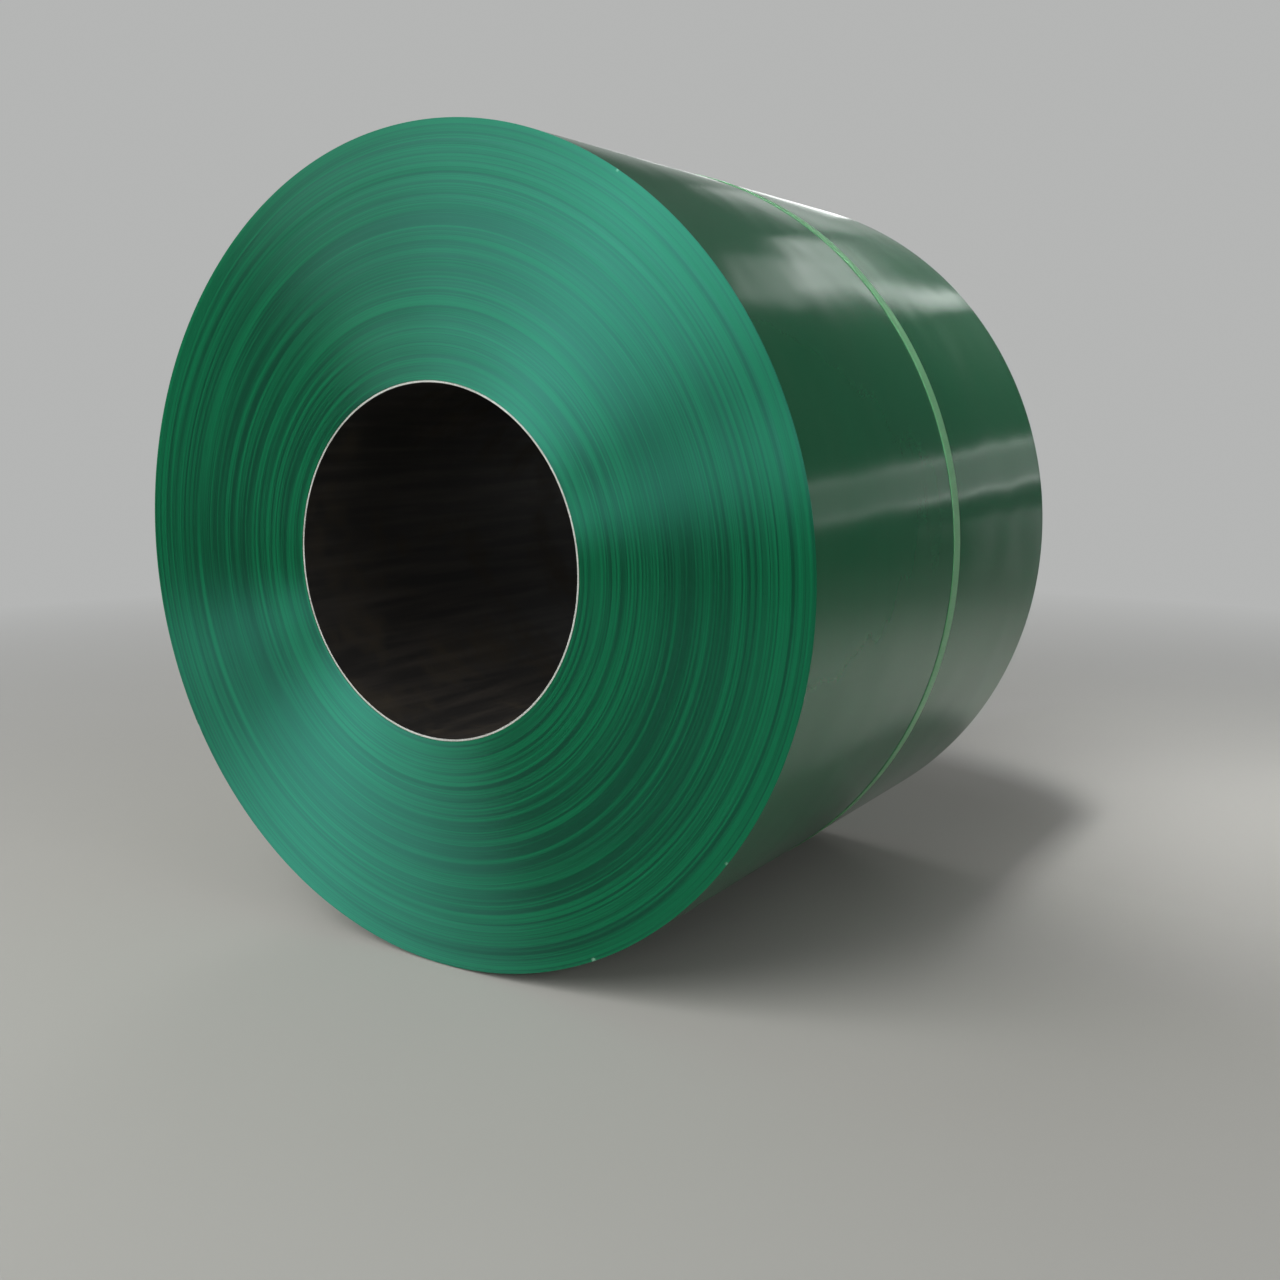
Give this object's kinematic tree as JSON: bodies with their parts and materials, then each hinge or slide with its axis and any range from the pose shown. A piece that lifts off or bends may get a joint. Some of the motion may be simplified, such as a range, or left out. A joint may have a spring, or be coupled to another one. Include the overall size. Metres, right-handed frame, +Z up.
{
  "type": "steel coil",
  "caption": "Coil of green prepainted steel strip lying on its side, with a thin sleeve in its bore and a plastic strap round it.",
  "frame": {"origin": "on the floor, under the middle of the coil", "axes": "+Y along the coil's axis, away from the end that the picture shows; +X to the right as seen from that end; +Z up"},
  "size_m": [1.2056, 0.916, 1.2055],
  "materials": {
    "painted_strip": "gloss",
    "sleeve_steel": "dark mill scale, with bright cut edges",
    "strap_plastic": "satin"
  },
  "bodies": {
    "root": {"coil": "painted_strip", "core_sleeve": "sleeve_steel", "strap": "strap_plastic"}
  },
  "joints": []
}
